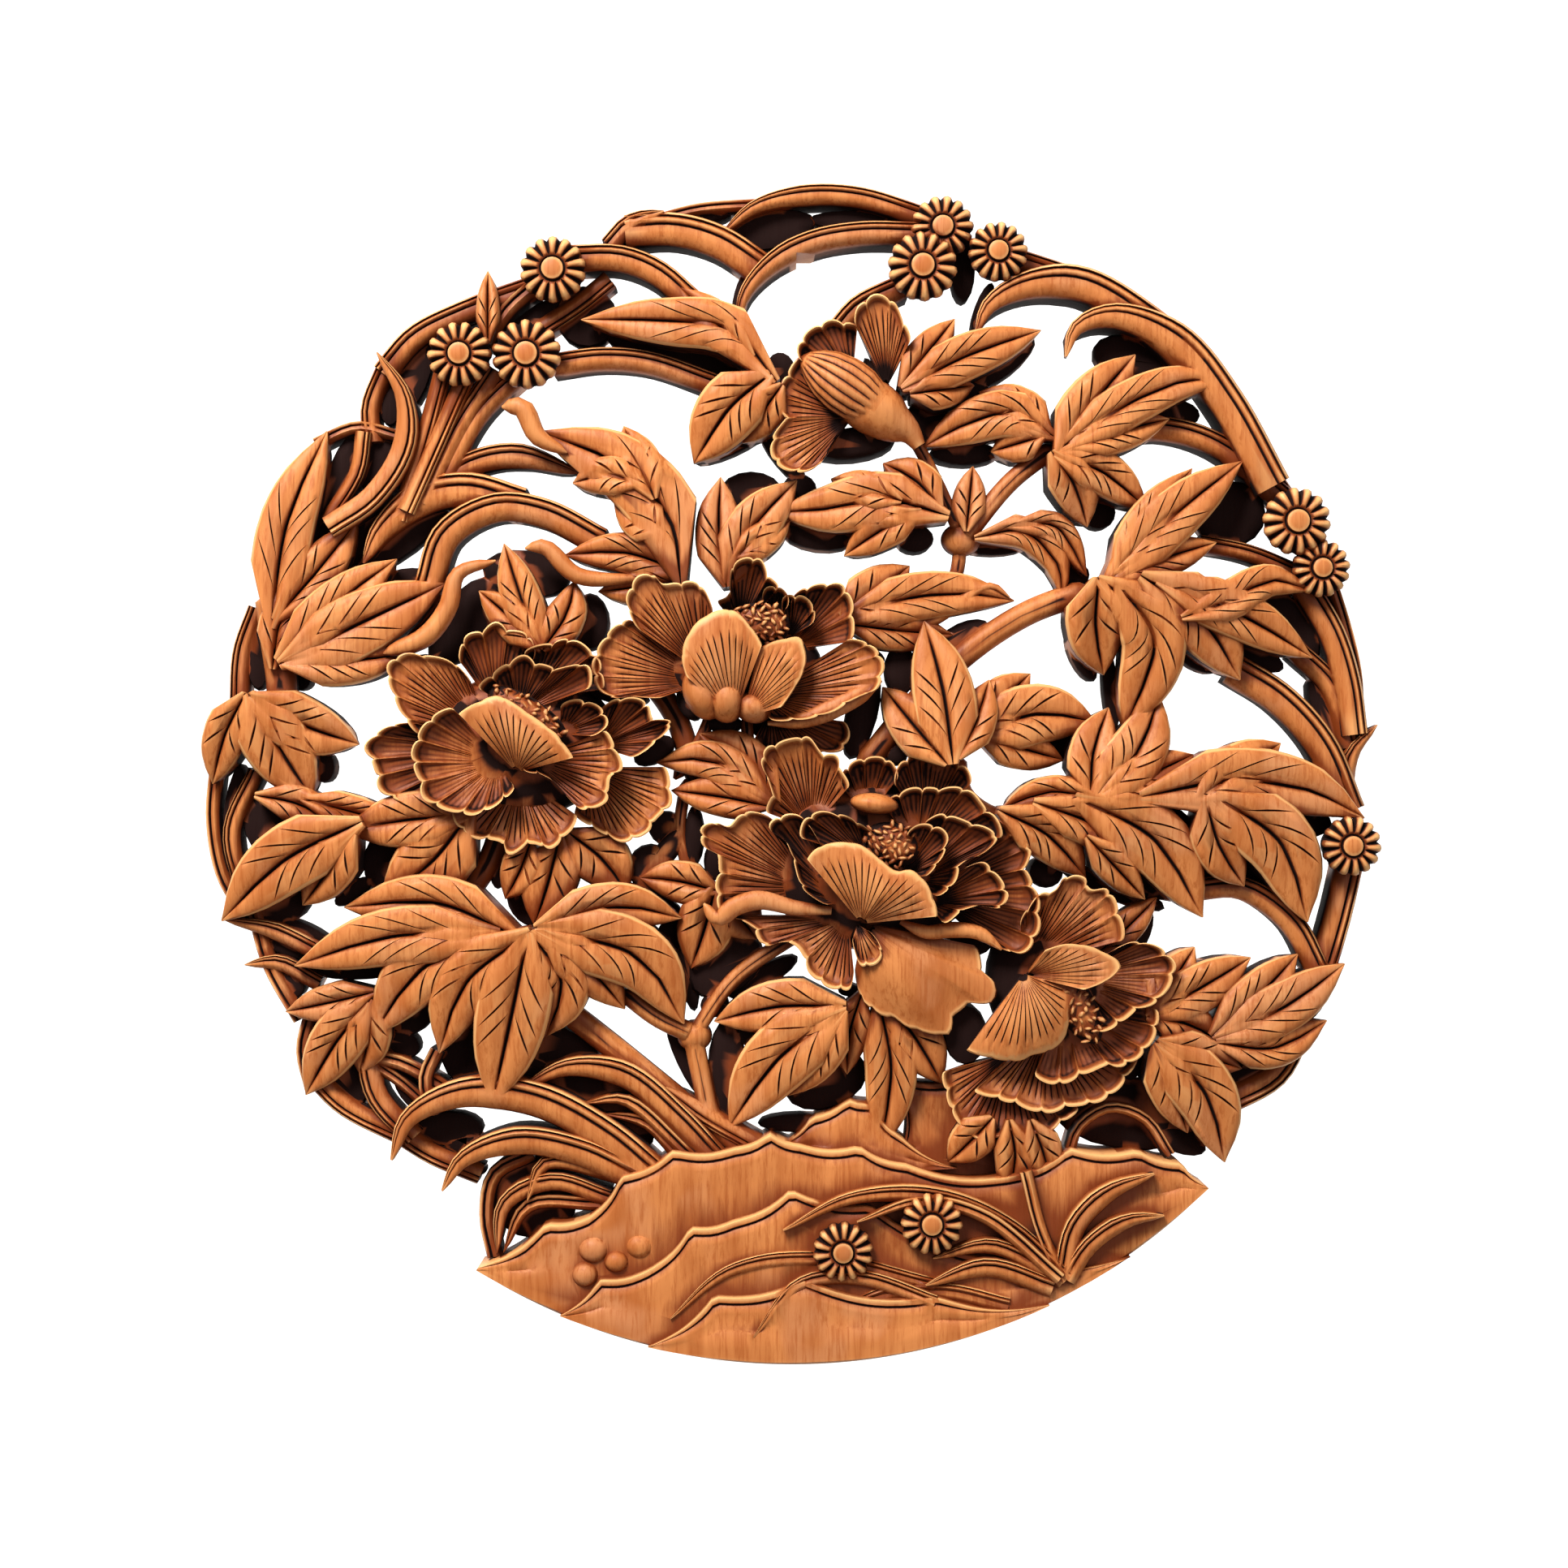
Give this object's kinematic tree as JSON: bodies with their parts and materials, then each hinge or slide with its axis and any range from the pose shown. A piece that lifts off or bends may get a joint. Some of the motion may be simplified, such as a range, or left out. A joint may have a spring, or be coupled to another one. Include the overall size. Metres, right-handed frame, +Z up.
{
  "type": "carved wall panel",
  "caption": "Round openwork wood relief of peonies, leaves, grass and a rock, pierced right through, to hang on a nail.",
  "frame": {"origin": "middle of the flat seat under the top arch, where the panel hangs on a nail", "axes": "+Z up, the carved front faces -Y and the flat back faces +Y, +X to the right seen from the front"},
  "size_m": [0.2704, 0.025, 0.2702],
  "materials": {
    "carved_wood": "satin wood, orange brown, with dark stain in the recesses and worn lighter edges"
  },
  "bodies": {
    "root": {"carving": "carved_wood"}
  },
  "joints": []
}
